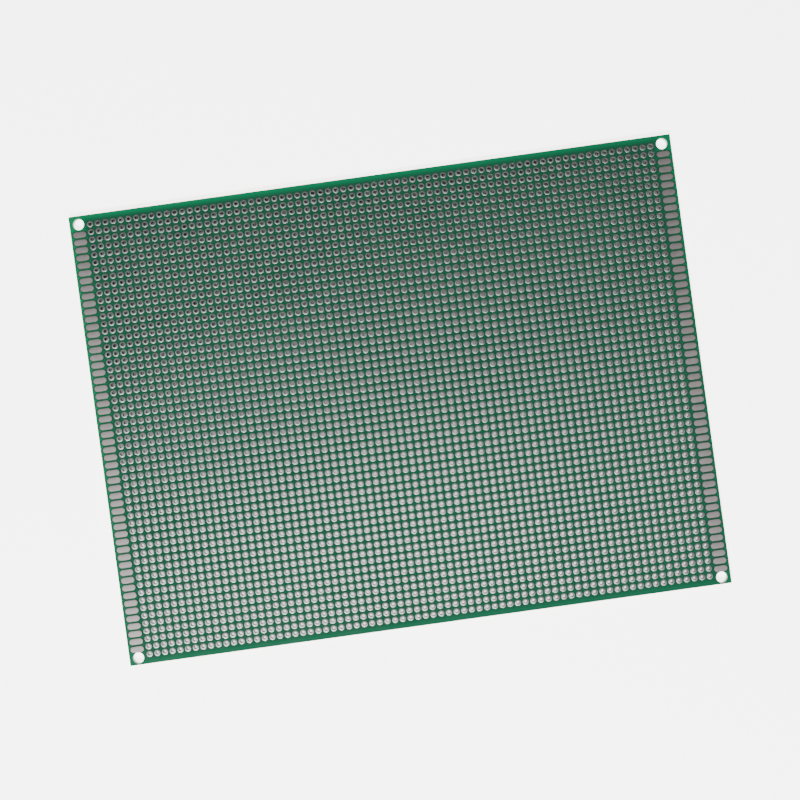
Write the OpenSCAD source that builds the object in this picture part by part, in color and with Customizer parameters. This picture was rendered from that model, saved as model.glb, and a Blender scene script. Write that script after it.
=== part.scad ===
// Double-sided prototype board of the 15 x 20 cm kind: one drilled sheet of green glass-epoxy,
// a plated and tinned hole at every grid point, and long pads beside the left and right edges.
// It lies flat with the long way along X and the thickness along Z.
// The origin is at the middle of the underside.

/* [Board] */
// Length of the sheet, along X
board_length = 199; // [60:0.5:300]
// Width of the sheet, along Y
board_width = 148.5; // [40:0.5:300]
// Thickness of the sheet, with the solder mask on both faces
board_thickness = 1.6; // [0.8:0.1:3.2]

/* [Hole grid] */
// Distance from one hole to the next, along X and along Y
pitch = 2.54; // [2.4:0.01:5.08]
// Number of holes in a row, along X
columns = 74; // [8:1:110]
// Number of rows, along Y
rows = 57; // [6:1:110]
// Diameter of the tinned ring round each hole
pad_d = 2.04; // [1.4:0.01:2.3]
// Diameter of the open hole, after plating
bore_d = 1.0; // [0.6:0.05:1.3]
// Height of the tinned metal above the upper face
pad_height = 0.035; // [0.02:0.005:0.2]

/* [Edge pads] */
// Length of a long pad over its round ends, along X
edge_pad_length = 4.5; // [2.5:0.1:5.5]
// Width of a long pad, along Y
edge_pad_width = 2.03; // [1:0.01:2.3]
// Distance from the side edge of the sheet to the middle of a long pad
edge_pad_inset = 2.95; // [2:0.05:3.5]
// How far each long pad sits towards the lower edge from the row beside it
edge_pad_drop = 0.55; // [-1:0.05:1]
// Rows at the top and at the bottom that have no long pad beside them
edge_pad_skip = 1; // [1:1:10]

/* [Mounting holes] */
// Diameter of the hole in each corner
mount_d = 3.6; // [2:0.1:4]
// Distance between the mounting holes along X
mount_spacing_x = 193; // [50:0.5:296]
// Distance between the mounting holes along Y
mount_spacing_y = 143.4; // [34:0.1:296]
// How far the four mounting holes sit towards the lower edge, as a group
mount_drop = 0.28; // [-1:0.01:1]

/* [Hidden] */
// Rows of plated holes that share a node, and columns between two hairlines
rows_per_group = 3;
columns_per_field = 4;
// The hairlines part the drilled faces into fields light enough for an exact solid.
// They are far too fine to see, and the real sheet has none.
hairline_w = 0.02;
hairline_depth = 0.01;
groups = ceil(rows / rows_per_group);
fields = ceil(columns / columns_per_field);
$fn = 32;

// Place of a column and of a row. Row 1 is the upper one, column 1 the left one.
function column_x(c) = (c - (columns + 1) / 2) * pitch;
function row_y(r) = ((rows + 1) / 2 - r) * pitch;

// First and last column of a field, and its left and right borders
function first_column(f) = (f - 1) * columns_per_field + 1;
function last_column(f) = min(columns, f * columns_per_field);
function field_left(f) = f == 1 ? -board_length / 2
    : column_x(first_column(f)) - pitch / 2 + hairline_w / 2;
function field_right(f) = f == fields ? board_length / 2
    : column_x(last_column(f)) + pitch / 2 - hairline_w / 2;

function group_name(g) = str("plated_holes_", g < 10 ? "0" : "", g);

// The four corner holes as outlines
module mount_outlines()
    for (x = [-1, 1], y = [-1, 1])
        translate([x * mount_spacing_x / 2, y * mount_spacing_y / 2 - mount_drop]) circle(d = mount_d);

// One field of the sheet with its drilled holes, each filled by the metal of a plated hole
module field(f)
    linear_extrude(board_thickness) difference() {
        translate([field_left(f), -board_width / 2])
            square([field_right(f) - field_left(f), board_width]);
        for (c = [first_column(f) : last_column(f)], r = [1 : rows])
            translate([column_x(c), row_y(r)]) circle(d = pad_d);
        mount_outlines();
    }

// The sheet under a hairline, which joins a field to the next one
module hairline_floor(f)
    translate([0, 0, hairline_depth]) linear_extrude(board_thickness - 2 * hairline_depth)
        difference() {
            translate([field_right(f), -board_width / 2]) square([hairline_w, board_width]);
            mount_outlines();
        }

// The drilled sheet
module board()
    color([0.09, 0.36, 0.26]) {
        for (f = [1 : fields]) field(f);
        if (fields > 1) for (f = [1 : fields - 1]) hairline_floor(f);
    }

// One plated hole: the rings of both faces and the lining as one plain tube
module plated_hole()
    rotate_extrude()
        translate([bore_d / 2, 0]) square([(pad_d - bore_d) / 2, board_thickness + pad_height]);

// The plated holes of a few neighbouring rows
module plated_holes(g)
    color([0.72, 0.73, 0.72])
        for (r = [(g - 1) * rows_per_group + 1 : min(rows, g * rows_per_group)], c = [1 : columns])
            translate([column_x(c), row_y(r), 0]) plated_hole();

// One long pad with round ends, lying on the upper face
module edge_pad()
    translate([0, 0, board_thickness]) linear_extrude(pad_height) {
        straight = edge_pad_length - edge_pad_width;
        square([straight, edge_pad_width], center = true);
        for (x = [-1, 1]) translate([x * straight / 2, 0]) circle(d = edge_pad_width);
    }

// The long pads of one side: -1 is the left side, 1 the right side
module edge_pads(side)
    color([0.70, 0.67, 0.66])
        for (r = [edge_pad_skip + 1 : rows - edge_pad_skip])
            translate([side * (board_length / 2 - edge_pad_inset), row_y(r) - edge_pad_drop, 0]) edge_pad();

board();
edge_pads(-1);  // edge_pads_left
edge_pads(1);  // edge_pads_right
for (g = [1 : groups])
    plated_holes(g);
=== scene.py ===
# %% [markdown]
# # A prototype board
# This lesson dresses one drilled and tinned prototype board. The exact sheet comes from the CAD frame.
# The metal of its holes and its long edge pads are modelled here, because molten tin leaves soft,
# rounded rims that a plain tube or slab doesn't have.

# %% Load the frame
import math

import bpy
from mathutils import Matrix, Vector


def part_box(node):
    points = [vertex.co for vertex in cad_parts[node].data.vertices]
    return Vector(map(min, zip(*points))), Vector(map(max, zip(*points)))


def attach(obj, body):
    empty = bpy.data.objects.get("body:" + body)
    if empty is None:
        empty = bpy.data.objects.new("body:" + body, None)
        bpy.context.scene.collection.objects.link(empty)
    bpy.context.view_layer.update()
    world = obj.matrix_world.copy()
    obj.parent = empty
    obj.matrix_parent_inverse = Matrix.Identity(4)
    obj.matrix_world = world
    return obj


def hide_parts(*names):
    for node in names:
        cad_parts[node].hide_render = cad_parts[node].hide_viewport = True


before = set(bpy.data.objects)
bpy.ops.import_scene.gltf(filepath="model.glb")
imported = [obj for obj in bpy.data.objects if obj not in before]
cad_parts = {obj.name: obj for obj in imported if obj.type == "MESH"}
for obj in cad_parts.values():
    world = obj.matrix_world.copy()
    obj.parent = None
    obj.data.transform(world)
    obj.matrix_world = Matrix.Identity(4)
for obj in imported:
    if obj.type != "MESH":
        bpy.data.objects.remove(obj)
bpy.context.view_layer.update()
print("frame nodes:", len(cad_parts))

# %% [markdown]
# ## Sizes
# Every piece is placed by the drilling plan: 74 columns by 57 rows at a pitch of 2.54 mm, centred on
# the sheet. The two faces of the sheet are read from the frame, so each piece sits at the real height
# of the face that it belongs to. All lengths are in metres.

# %% The drilling plan
MM = 0.001
PITCH = 2.54 * MM
COLUMNS = 74
ROWS = 57
sheet_low, sheet_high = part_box("board")
UNDERSIDE = sheet_low.z
FACE = sheet_high.z
FIRST_X = -(COLUMNS - 1) / 2 * PITCH
FIRST_Y = (ROWS - 1) / 2 * PITCH
SIDE_EDGE = sheet_high.x
PAD_LENGTH = 4.5 * MM  # a long edge pad over its round ends
PAD_WIDTH = 2.03 * MM
PAD_INSET = 2.95 * MM  # from the side edge to the middle of a long pad
PAD_DROP = 0.55 * MM  # how far it sits below the row beside it
MOUNT_X = 193 / 2 * MM  # the corner holes
MOUNT_Y = 143.4 / 2 * MM
MOUNT_DROP = 0.28 * MM
print("first hole at mm:", round(FIRST_X / MM, 3), round(FIRST_Y / MM, 3))
print("thickness of the sheet in mm:", round((FACE - UNDERSIDE) / MM, 3))


# %% [markdown]
# ## Helpers for work in edit mode
# An operator acts on everything that is selected, and a new primitive is selected all over. So each
# step starts from an empty selection, and edges and faces are then picked by their place.

# %% Selection helpers
def deselect_all():
    """Leaves edit mode and empties the selection."""
    if bpy.context.object and bpy.context.object.mode != "OBJECT":
        bpy.ops.object.mode_set(mode="OBJECT")
    bpy.ops.object.select_all(action="DESELECT")


def pick(piece):
    """Makes one piece the only selected and active one."""
    deselect_all()
    piece.select_set(True)
    bpy.context.view_layer.objects.active = piece


def select_in_mesh(piece, kind, wanted):
    """Selects the vertices, edges or faces of a piece for which wanted(item) is true."""
    bpy.ops.object.mode_set(mode="OBJECT")
    mesh = piece.data
    for item in list(mesh.vertices) + list(mesh.edges) + list(mesh.polygons):
        item.select = False
    for item in {"VERT": mesh.vertices, "EDGE": mesh.edges, "FACE": mesh.polygons}[kind]:
        item.select = bool(wanted(item))
    bpy.ops.object.mode_set(mode="EDIT")
    bpy.ops.mesh.select_mode(type=kind)


def repeat(piece, count, step):
    """Repeats a piece along a step with an array that is then applied."""
    pick(piece)
    array = piece.modifiers.new("repeat", "ARRAY")
    array.count = count
    array.use_relative_offset = False
    array.use_constant_offset = True
    array.constant_offset_displace = step
    bpy.ops.object.modifier_apply(modifier=array.name)


def copy_to(piece, name, x, y):
    """Copies a piece with its own mesh, moves it and sets its place in its mesh."""
    twin = piece.copy()
    twin.data = piece.data.copy()
    twin.name = twin.data.name = name
    bpy.context.collection.objects.link(twin)
    pick(twin)
    bpy.ops.transform.translate(value=(x, y, 0))
    bpy.ops.object.transform_apply(location=True, rotation=True, scale=True)
    return twin


print("helpers ready")

# %% [markdown]
# ## Node helpers
# The finishes are built from nodes. All patterns read Object coordinates, which are the board's own
# metres. The drilling plan is a pattern too: dividing a place by the pitch and dropping the whole part
# gives the place inside one cell of the grid, and the whole part names the cell.

# %% Node helpers
def new_finish(name):
    """A material with an empty Principled shader, and its tree."""
    finish = bpy.data.materials.new(name)
    finish.use_nodes = True
    tree = finish.node_tree
    return finish, tree, tree.nodes["Principled BSDF"]


def link(tree, source, target):
    tree.links.new(source, target)


def calc(tree, operation, a, b=None, c=None):
    """One Math node. Numbers are set on its sockets and outputs are linked to them."""
    node = tree.nodes.new("ShaderNodeMath")
    node.operation = operation
    for socket, value in zip(node.inputs, (a, b, c)):
        if value is None:
            continue
        if isinstance(value, (int, float)):
            socket.default_value = value
        else:
            link(tree, value, socket)
    return node.outputs[0]


def blend(tree, amount, dark, light):
    """Mixes two colours by an amount from 0 to 1. A colour is a tuple or an output."""
    node = tree.nodes.new("ShaderNodeMix")
    node.data_type = "RGBA"
    link(tree, amount, node.inputs[0])
    for socket, value in ((node.inputs[6], dark), (node.inputs[7], light)):
        if isinstance(value, tuple):
            socket.default_value = (*value, 1)
        else:
            link(tree, value, socket)
    return node.outputs[2]


def ramp(tree, value, low, high, out_low=0.0, out_high=1.0):
    """Maps a value between two limits to two others, smoothly."""
    node = tree.nodes.new("ShaderNodeMapRange")
    node.interpolation_type = "SMOOTHSTEP"
    link(tree, value, node.inputs[0])
    for i, number in enumerate((low, high, out_low, out_high), 1):
        node.inputs[i].default_value = number
    return node.outputs[0]


def noise(tree, scale, detail=2.0, rough=0.5):
    """Noise over Object coordinates, with its scale in cells a metre."""
    node = tree.nodes.new("ShaderNodeTexNoise")
    node.inputs["Scale"].default_value = scale
    node.inputs["Detail"].default_value = detail
    node.inputs["Roughness"].default_value = rough
    link(tree, tree.nodes.new("ShaderNodeTexCoord").outputs["Object"], node.inputs["Vector"])
    return node.outputs["Fac"]


def bump(tree, height, distance, strength=1.0, under=None):
    """Turns a height from 0 to 1 into relief of a distance in metres."""
    node = tree.nodes.new("ShaderNodeBump")
    node.inputs["Strength"].default_value = strength
    node.inputs["Distance"].default_value = distance
    link(tree, height, node.inputs["Height"])
    if under is not None:
        link(tree, under, node.inputs["Normal"])
    return node.outputs["Normal"]


def drilling_cell(tree):
    """Distance from the middle of the nearest grid hole in metres, and a random number for each hole."""
    place = tree.nodes.new("ShaderNodeSeparateXYZ")
    link(tree, tree.nodes.new("ShaderNodeTexCoord").outputs["Object"], place.inputs[0])
    u = calc(tree, "MULTIPLY_ADD", place.outputs[0], 1 / PITCH, COLUMNS / 2)
    v = calc(tree, "MULTIPLY_ADD", place.outputs[1], 1 / PITCH, ROWS / 2)
    u = calc(tree, "MINIMUM", calc(tree, "MAXIMUM", u, 0.0), COLUMNS - 0.001)
    v = calc(tree, "MINIMUM", calc(tree, "MAXIMUM", v, 0.0), ROWS - 0.001)
    across = calc(tree, "MULTIPLY", calc(tree, "SUBTRACT", calc(tree, "FRACT", u), 0.5), PITCH)
    along = calc(tree, "MULTIPLY", calc(tree, "SUBTRACT", calc(tree, "FRACT", v), 0.5), PITCH)
    reach = calc(tree, "SQRT", calc(tree, "ADD", calc(tree, "MULTIPLY", across, across),
                                    calc(tree, "MULTIPLY", along, along)))
    cell = tree.nodes.new("ShaderNodeCombineXYZ")
    link(tree, calc(tree, "FLOOR", u), cell.inputs[0])
    link(tree, calc(tree, "FLOOR", v), cell.inputs[1])
    chance = tree.nodes.new("ShaderNodeTexWhiteNoise")
    chance.noise_dimensions = "3D"
    link(tree, cell.outputs[0], chance.inputs["Vector"])
    return reach, chance.outputs["Value"], place, (u, v)


def long_pad_gap(tree, place):
    """Distance in metres from the outline of the nearest long edge pad."""
    side = calc(tree, "SUBTRACT", calc(tree, "ABSOLUTE", place.outputs[0]), SIDE_EDGE - PAD_INSET)
    past = calc(tree, "SUBTRACT", calc(tree, "ABSOLUTE", side), (PAD_LENGTH - PAD_WIDTH) / 2)
    past = calc(tree, "MAXIMUM", past, 0.0)
    v = calc(tree, "MULTIPLY_ADD", place.outputs[1], 1 / PITCH, ROWS / 2 + PAD_DROP / PITCH)
    held = calc(tree, "MINIMUM", calc(tree, "MAXIMUM", v, 1.0), ROWS - 1.001)
    along = calc(tree, "ADD", calc(tree, "SUBTRACT", calc(tree, "FRACT", held), 0.5),
                 calc(tree, "SUBTRACT", v, held))
    along = calc(tree, "MULTIPLY", along, PITCH)
    reach = calc(tree, "SQRT", calc(tree, "ADD", calc(tree, "MULTIPLY", past, past),
                                    calc(tree, "MULTIPLY", along, along)))
    return calc(tree, "SUBTRACT", reach, PAD_WIDTH / 2)


print("node helpers ready")

# %% [markdown]
# ## The sheet: green solder mask over woven glass
# The sheet keeps its CAD mesh and gets its finish through its material slot. The mask is a glossy green
# lacquer. It is darkest where it closes round the metal, partly its own edge and partly painted shade
# there, it carries a faint print of the glass weave, and it varies a little over the sheet: it is
# brighter in the bare margins, and a painted sheen makes them brighter still towards the upper left.
# The routed edges show the bare, pale laminate in thin layers. One material does both: the
# sideways part of the surface normal picks the laminate, below a thin film of lacquer at each face.
# The corner holes are painted darker inside, as shade in the drilled bore.

# %% Solder mask and laminate
MASK_DEEP, MASK_BRIGHT = (0.0088, 0.069, 0.0360), (0.0108, 0.081, 0.0425)
MASK_SPECK = (0.014, 0.092, 0.048)
# the upper margin colour carries a painted sheen that brightens the margins towards the upper left
MARGIN_LOWER, MARGIN_WITH_SHEEN = (0.010, 0.108, 0.052), (0.009, 0.190, 0.074)
LAP_GREEN_AND_SHADE = (0.004, 0.026, 0.015)  # where the lacquer closes round the metal, with painted shade at the metal's edge
LAP_SHADE = 0.75
GLASS_DARK, GLASS_PALE = (0.20, 0.205, 0.070), (0.34, 0.34, 0.14)
DRILLED_WALL_SHADE = (0.045, 0.060, 0.025)
FILM = 0.015 * MM  # lacquer at each face, seen from the side
WARP_PITCH, WEFT_PITCH = 0.62 * MM, 0.80 * MM  # threads of the glass weave


def solder_mask():
    finish, tree, shader = new_finish("solder_mask")
    reach, _, place, _ = drilling_cell(tree)
    drift = ramp(tree, noise(tree, 16, 3), 0.3, 0.7)
    green = blend(tree, drift, MASK_DEEP, MASK_BRIGHT)
    speck = ramp(tree, noise(tree, 1500, 2), 0.35, 0.75)
    green = blend(tree, calc(tree, "MULTIPLY", speck, 0.35), green, MASK_SPECK)
    beyond = calc(tree, "MAXIMUM",
                  calc(tree, "SUBTRACT", calc(tree, "ABSOLUTE", place.outputs[0]), COLUMNS / 2 * PITCH),
                  calc(tree, "SUBTRACT", calc(tree, "ABSOLUTE", place.outputs[1]), ROWS / 2 * PITCH))
    # painted sheen: the margins grow brighter towards the upper left
    toward_sheen = calc(tree, "MULTIPLY_ADD", place.outputs[0], -0.35, place.outputs[1])
    margin_and_sheen = blend(tree, ramp(tree, toward_sheen, -75 * MM, 105 * MM), MARGIN_LOWER, MARGIN_WITH_SHEEN)
    green = blend(tree, ramp(tree, beyond, -0.6 * MM, 2.0 * MM), green, margin_and_sheen)
    # painted shade where the lacquer meets the metal, over the lacquer's own darker edge
    edge_and_shade = ramp(tree, reach, 1.06 * MM, 1.16 * MM, LAP_SHADE, 0.0)
    pad_edge_and_shade = ramp(tree, long_pad_gap(tree, place), 0.02 * MM, 0.45 * MM, LAP_SHADE, 0.0)
    green = blend(tree, calc(tree, "MAXIMUM", edge_and_shade, pad_edge_and_shade), green, LAP_GREEN_AND_SHADE)
    layers = tree.nodes.new("ShaderNodeTexWave")
    layers.bands_direction = "Z"
    layers.inputs["Scale"].default_value = 1500
    layers.inputs["Distortion"].default_value = 1.6
    layers.inputs["Detail Scale"].default_value = 0.8
    link(tree, tree.nodes.new("ShaderNodeTexCoord").outputs["Object"], layers.inputs["Vector"])
    glass = blend(tree, layers.outputs["Fac"], GLASS_DARK, GLASS_PALE)
    side = calc(tree, "SUBTRACT", calc(tree, "ABSOLUTE", place.outputs[0]), MOUNT_X)
    along = calc(tree, "ADD", place.outputs[1], MOUNT_DROP)
    along = calc(tree, "SUBTRACT", calc(tree, "ABSOLUTE", along), MOUNT_Y)
    drilled = calc(tree, "SQRT", calc(tree, "ADD", calc(tree, "MULTIPLY", side, side),
                                      calc(tree, "MULTIPLY", along, along)))
    # painted shade inside the corner holes
    bore_shade = ramp(tree, drilled, 1.9 * MM, 2.0 * MM, 0.75, 0.0)
    glass = blend(tree, bore_shade, glass, DRILLED_WALL_SHADE)
    shape = tree.nodes.new("ShaderNodeNewGeometry")
    facing = tree.nodes.new("ShaderNodeSeparateXYZ")
    link(tree, shape.outputs["True Normal"], facing.inputs[0])
    flat = calc(tree, "GREATER_THAN", calc(tree, "ABSOLUTE", facing.outputs[2]), 0.5)
    middle = (FACE + UNDERSIDE) / 2
    depth = calc(tree, "ABSOLUTE", calc(tree, "SUBTRACT", place.outputs[2], middle))
    film = calc(tree, "GREATER_THAN", depth, FACE - middle - FILM)
    flat = calc(tree, "MAXIMUM", flat, film)
    link(tree, blend(tree, flat, glass, green), shader.inputs["Base Color"])
    link(tree, ramp(tree, noise(tree, 220, 3), 0.3, 0.7, 0.14, 0.20), shader.inputs["Roughness"])
    warp = calc(tree, "SINE", calc(tree, "MULTIPLY", place.outputs[0], 2 * math.pi / WARP_PITCH))
    weft = calc(tree, "SINE", calc(tree, "MULTIPLY", place.outputs[1], 2 * math.pi / WEFT_PITCH))
    weave = calc(tree, "MULTIPLY_ADD", calc(tree, "MULTIPLY", warp, weft), 0.5, 0.5)
    print_through = bump(tree, weave, 0.0025 * MM, 0.6)
    link(tree, bump(tree, noise(tree, 420, 3), 0.02 * MM, 0.5, print_through), shader.inputs["Normal"])
    return finish


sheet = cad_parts["board"]
mask_finish = solder_mask()
for slot in sheet.material_slots:
    slot.material = mask_finish
print("sheet finished, triangles:", len(sheet.data.polygons))

# %% [markdown]
# ## Tinned metal
# The rings are dipped in molten tin and blown level with hot air. Each one freezes a little
# differently, so a random number for each hole shifts its tone and gloss, and a fine grain breaks up
# the highlight. The tin is painted darker along the rim of a long pad, as shade on its edge. The mouth
# and the lining of a hole are a glossier tin, painted darker as shade inside the hole.

# %% Tinned finishes
SCUFFED = ((55, 7), (63, 9))  # column from the left and row from below, counted from 0
SCUFF = (0.03, 0.03, 0.03)
PAD_RIM_SHADE = (0.12, 0.112, 0.110)  # painted shade along the rim of a long pad


def tinned(name, dull, bright, gloss_low, gloss_high, grain, scuffed=()):
    finish, tree, shader = new_finish(name)
    reach, chance, place, cell = drilling_cell(tree)
    cloud = ramp(tree, noise(tree, 900, 3), 0.3, 0.7)
    tone = calc(tree, "ADD", calc(tree, "MULTIPLY", cloud, 0.5), calc(tree, "MULTIPLY", chance, 0.5))
    metal = blend(tree, tone, dull, bright)
    for column, row in scuffed:
        here = calc(tree, "MULTIPLY", calc(tree, "COMPARE", cell[0], column + 0.5, 0.5),
                    calc(tree, "COMPARE", cell[1], row + 0.5, 0.5))
        patch = ramp(tree, noise(tree, 1600, 2), 0.48, 0.60, 0.0, 0.85)
        metal = blend(tree, calc(tree, "MULTIPLY", here, patch), metal, SCUFF)
    # painted shade along the rim of a long pad
    rim = ramp(tree, calc(tree, "ABSOLUTE", long_pad_gap(tree, place)), 0.0, 0.32 * MM, 0.70, 0.0)
    metal = blend(tree, rim, metal, PAD_RIM_SHADE)
    link(tree, metal, shader.inputs["Base Color"])
    shader.inputs["Metallic"].default_value = 1.0
    link(tree, ramp(tree, tone, 0.0, 1.0, gloss_low, gloss_high), shader.inputs["Roughness"])
    link(tree, bump(tree, noise(tree, 2600, 2), grain, 0.6), shader.inputs["Normal"])
    return finish


ring_tin = tinned("ring_tin", (0.278, 0.293, 0.290), (0.328, 0.343, 0.340),
                  0.54, 0.60, 0.008 * MM, SCUFFED)
# darker than the ring tin: painted shade inside the hole
shaded_lining_tin = tinned("shaded_lining_tin", (0.22, 0.225, 0.225), (0.27, 0.275, 0.275),
                    0.46, 0.54, 0.002 * MM)
edge_tin = tinned("edge_tin", (0.292, 0.270, 0.270), (0.350, 0.325, 0.325),
                  0.62, 0.70, 0.010 * MM)
print("finishes:", [m.name for m in (ring_tin, shaded_lining_tin, edge_tin)])

# %% [markdown]
# ## One plated hole
# The metal of a hole is one closed skin: a softly crowned ring on the upper face, the lining through
# the sheet and a thin flat ring below. It could be turned with a screw modifier. Here it starts as a
# circle whose edge is drawn out ring by ring, which keeps the face count low: there are 4218 of them.
# Each stop of the profile is a radius and a height.

# %% Model one plated hole
SIDES = 12
MOUTH_REACH = 0.58 * MM  # a face nearer the middle than this belongs to the mouth or the lining
SAME = 1e-7  # two heights closer than this are one
RING_PROFILE = [  # radius, height
    (1.055 * MM, FACE - 0.002 * MM),
    (1.00 * MM, FACE + 0.030 * MM),
    (0.60 * MM, FACE + 0.040 * MM),
    (0.50 * MM, FACE - 0.080 * MM),
    (0.50 * MM, UNDERSIDE - 0.020 * MM),
    (1.055 * MM, UNDERSIDE - 0.020 * MM),
]


def plated_hole():
    deselect_all()
    radius, height = RING_PROFILE[0]
    bpy.ops.mesh.primitive_circle_add(vertices=SIDES, radius=radius, fill_type="NOTHING",
                                      location=(0, 0, height))
    hole = bpy.context.object
    hole.name = hole.data.name = "plated_hole"
    bpy.ops.object.transform_apply(location=True, rotation=True, scale=True)
    bpy.ops.object.mode_set(mode="EDIT")
    for next_radius, next_height in RING_PROFILE[1:]:
        bpy.ops.mesh.extrude_edges_move()
        bpy.ops.transform.translate(value=(0, 0, next_height - height))
        size = next_radius / radius
        bpy.ops.transform.resize(value=(size, size, 1), center_override=(0, 0, 0))
        radius, height = next_radius, next_height
    rim_radius = RING_PROFILE[0][0] * 0.99
    rims = (RING_PROFILE[0][1], RING_PROFILE[-1][1])
    mesh = hole.data

    def on_a_rim(edge):
        ends = [mesh.vertices[i].co for i in edge.vertices]
        return all(end.xy.length > rim_radius for end in ends) and abs(ends[0].z - ends[1].z) < SAME \
            and any(abs(ends[0].z - rim) < SAME for rim in rims)

    select_in_mesh(hole, "EDGE", on_a_rim)
    bpy.ops.mesh.bridge_edge_loops()
    bpy.ops.mesh.select_all(action="SELECT")
    bpy.ops.mesh.normals_make_consistent(inside=False)
    hole.data.materials.append(ring_tin)
    hole.data.materials.append(shaded_lining_tin)
    select_in_mesh(hole, "FACE", lambda face: face.center.xy.length < MOUTH_REACH)
    hole.active_material_index = 1
    bpy.ops.object.material_slot_assign()
    bpy.ops.object.mode_set(mode="OBJECT")
    pick(hole)
    bpy.ops.object.shade_smooth_by_angle(angle=math.radians(35))
    return hole


pattern_hole = plated_hole()
print("one plated hole has faces:", len(pattern_hole.data.polygons))

# %% [markdown]
# ## The whole field of holes
# One hole is copied to the start of a block of rows and repeated along X and then down the sheet.
# Four blocks keep each mesh light. Each block stands for the CAD tubes of the same rows, three rows
# to a node.

# %% Repeat the hole over the grid
BLOCKS = {"plated_holes_upper": (1, 5), "plated_holes_upper_middle": (6, 10),
          "plated_holes_lower_middle": (11, 15), "plated_holes_lower": (16, 19)}
for name, (first_group, last_group) in BLOCKS.items():
    rows = (last_group - first_group + 1) * 3
    top_row = (first_group - 1) * 3
    block = copy_to(pattern_hole, name, FIRST_X, FIRST_Y - top_row * PITCH)
    repeat(block, COLUMNS, (PITCH, 0, 0))
    repeat(block, rows, (0, -PITCH, 0))
    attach(block, "root")
    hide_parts(*["plated_holes_%02d" % g for g in range(first_group, last_group + 1)])
    print(name, "rows:", rows, "faces:", len(block.data.polygons))
bpy.data.objects.remove(pattern_hole)

# %% [markdown]
# ## Long edge pads
# Beside all but the first and last rows lies a long pad with round ends, 55 on each side, and the
# same again on the underside. A short cylinder is pulled apart at its middle to make the outline. The
# middle of its face is raised in two steps, as tin stands when it has run together. The pads of the two
# faces are joined before they are repeated, so each side of the board has one piece.

# %% Model one long pad and repeat it
PAD_SIDES = 18
RIM_STEP, CROWN_STEP = 0.10 * MM, 0.42 * MM  # widths of the two steps that raise the middle


def long_pad(name, base, thickness, up, rise):
    """One long pad. It faces up for 1 and down for -1, and its middle rises in two steps."""
    deselect_all()
    bpy.ops.mesh.primitive_cylinder_add(vertices=PAD_SIDES, radius=PAD_WIDTH / 2, depth=thickness,
                                        location=(0, 0, base + thickness / 2),
                                        rotation=(0, 0, math.pi / PAD_SIDES))
    pad = bpy.context.object
    pad.name = pad.data.name = name
    bpy.ops.object.transform_apply(location=True, rotation=True, scale=True)
    bpy.ops.object.mode_set(mode="EDIT")
    for side in (-1, 1):
        select_in_mesh(pad, "VERT", lambda vert: vert.co.x * side > 1e-6)
        bpy.ops.transform.translate(value=(side * (PAD_LENGTH - PAD_WIDTH) / 2, 0, 0))
    select_in_mesh(pad, "FACE", lambda face: face.normal.z * up > 0.9)
    bpy.ops.mesh.inset(thickness=RIM_STEP)
    bpy.ops.transform.translate(value=(0, 0, up * rise))
    bpy.ops.mesh.inset(thickness=CROWN_STEP)
    bpy.ops.transform.translate(value=(0, 0, up * rise))
    bpy.ops.object.mode_set(mode="OBJECT")
    pad.data.materials.append(edge_tin)
    pick(pad)
    bpy.ops.object.shade_smooth_by_angle(angle=math.radians(50))
    return pad


pattern_pad = long_pad("long_pad", FACE - 0.002 * MM, 0.022 * MM, 1, 0.012 * MM)
under_pad = long_pad("under_pad", UNDERSIDE - 0.018 * MM, 0.020 * MM, -1, 0.003 * MM)
pick(pattern_pad)
under_pad.select_set(True)
bpy.ops.object.join()
for name, side in (("edge_pads_left_tin", -1), ("edge_pads_right_tin", 1)):
    column = copy_to(pattern_pad, name, side * (SIDE_EDGE - PAD_INSET), FIRST_Y - PITCH - PAD_DROP)
    repeat(column, ROWS - 2, (0, -PITCH, 0))
    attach(column, "root")
    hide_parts("edge_pads_left" if side < 0 else "edge_pads_right")
    print(name, "faces:", len(column.data.polygons))
bpy.data.objects.remove(pattern_pad)

# %% [markdown]
# ## Floor, light and camera
# The board lies on a plain white floor that glows, like the light table of a cut-out product picture,
# so its holes are seen against a pale ground. The glow is even round the board. Under it, it fades in
# two stages towards the upper left, where the holes of the real picture are dark. That pattern belongs
# to the stage and not to the board. One soft lamp stands far off beyond the lower edge, so the lower
# rings are the brightest. The sky is dark overhead, which keeps the lacquer deep, and white near the
# horizon. The camera looks straight down, turned by the board's tilt.

# %% Floor
FLOOR_SIZE = 60
FLOOR_GAP = 0.05 * MM
GLOW_STAGES = ((-0.055, -0.005, 0.22), (-0.012, 0.065, 1.60))  # start and end in metres, glow added
GLOW_X, GLOW_Y = 94.0 * MM, 72.6 * MM  # past these the floor glows as it does in the open
OPEN_GLOW = 4.5
deselect_all()
bpy.ops.mesh.primitive_plane_add(size=FLOOR_SIZE, location=(0, 0, UNDERSIDE - FLOOR_GAP))
floor = bpy.context.object
floor.name = "floor"
floor_finish, floor_tree, floor_shader = new_finish("pale_floor")
floor_shader.inputs["Base Color"].default_value = (0.93, 0.93, 0.93, 1)
floor_shader.inputs["Roughness"].default_value = 0.8
place = floor_tree.nodes.new("ShaderNodeSeparateXYZ")
link(floor_tree, floor_tree.nodes.new("ShaderNodeTexCoord").outputs["Object"], place.inputs[0])
lean = calc(floor_tree, "MULTIPLY_ADD", place.outputs[1], 4.5, 0.1)
down = calc(floor_tree, "SUBTRACT", calc(floor_tree, "MULTIPLY", place.outputs[0], lean),
            place.outputs[1])
under = calc(floor_tree, "ADD", *[ramp(floor_tree, down, start, end, 0.0, glow)
                                  for start, end, glow in GLOW_STAGES])
beside = calc(floor_tree, "MAXIMUM",
              calc(floor_tree, "SUBTRACT", calc(floor_tree, "ABSOLUTE", place.outputs[0]), GLOW_X),
              calc(floor_tree, "SUBTRACT", calc(floor_tree, "ABSOLUTE", place.outputs[1]), GLOW_Y))
open_air = ramp(floor_tree, beside, 0.0, 0.4 * MM, 0.0, OPEN_GLOW)
floor_shader.inputs["Emission Color"].default_value = (1, 1, 1, 1)
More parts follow.
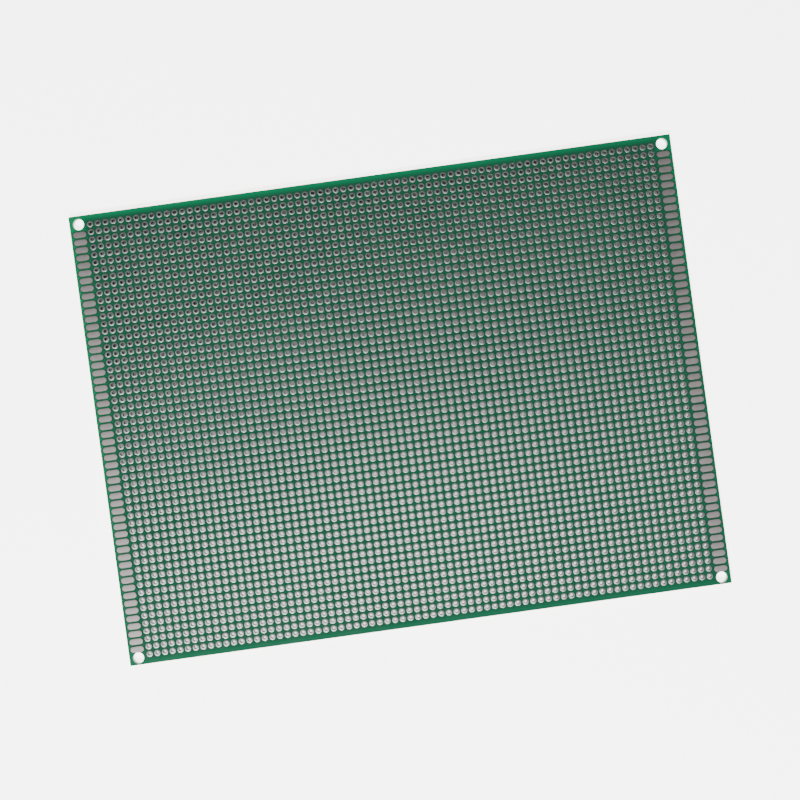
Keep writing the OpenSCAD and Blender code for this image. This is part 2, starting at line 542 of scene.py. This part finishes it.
link(floor_tree, calc(floor_tree, "MAXIMUM", under, open_air), floor_shader.inputs["Emission Strength"])
floor.data.materials.append(floor_finish)
print("floor at mm:", round(floor.location.z / MM, 3))


# %% Light
def soft_panel(name, place, aim, width, height, power):
    """A soft light panel at a place, turned to face a point."""
    light = bpy.data.lights.new(name, "AREA")
    light.shape = "RECTANGLE"
    light.size, light.size_y, light.energy = width, height, power
    panel = bpy.data.objects.new(name, light)
    bpy.context.collection.objects.link(panel)
    panel.location = place
    away = [a - p for a, p in zip(aim, place)]
    length = math.sqrt(sum(v * v for v in away))
    panel.rotation_mode = "XYZ"
    panel.rotation_euler = (math.acos(-away[2] / length), 0, math.atan2(-away[0], away[1]))
    panel.visible_camera = False
    print(name, "at", place)
    return panel


soft_panel("near_panel", (-0.26, -0.68, 0.76), (0, -0.03, 0), 0.50, 0.20, 27)
HORIZON_GLOW, OVERHEAD_GLOW = 4.0, 0.01
world = bpy.data.worlds.new("studio")
world.use_nodes = True
sky = world.node_tree
up = sky.nodes.new("ShaderNodeSeparateXYZ")
link(sky, sky.nodes.new("ShaderNodeTexCoord").outputs["Generated"], up.inputs[0])
sky.nodes["Background"].inputs["Color"].default_value = (1, 1, 1, 1)
link(sky, ramp(sky, up.outputs[2], 0.06, 0.14, HORIZON_GLOW, OVERHEAD_GLOW),
     sky.nodes["Background"].inputs["Strength"])
bpy.context.scene.world = world

# %% Camera
LENS = 50.0
SENSOR = 36.0
TILT = math.radians(7.9)
FRAME_WIDTH = 262.2 * MM
camera_data = bpy.data.cameras.new("camera")
camera_data.lens = LENS
camera_data.sensor_width = SENSOR
camera = bpy.data.objects.new("camera", camera_data)
bpy.context.collection.objects.link(camera)
camera.location = (0, 0, FACE + FRAME_WIDTH * LENS / SENSOR)
camera.rotation_euler = (0, 0, -TILT)
camera_data.clip_start, camera_data.clip_end = 0.01, 20
bpy.context.scene.camera = camera
print("camera height in mm:", round(camera.location.z / MM, 1))

# %% [markdown]
# ## Finish
# The selection is emptied at the end.

# %% Finish
deselect_all()
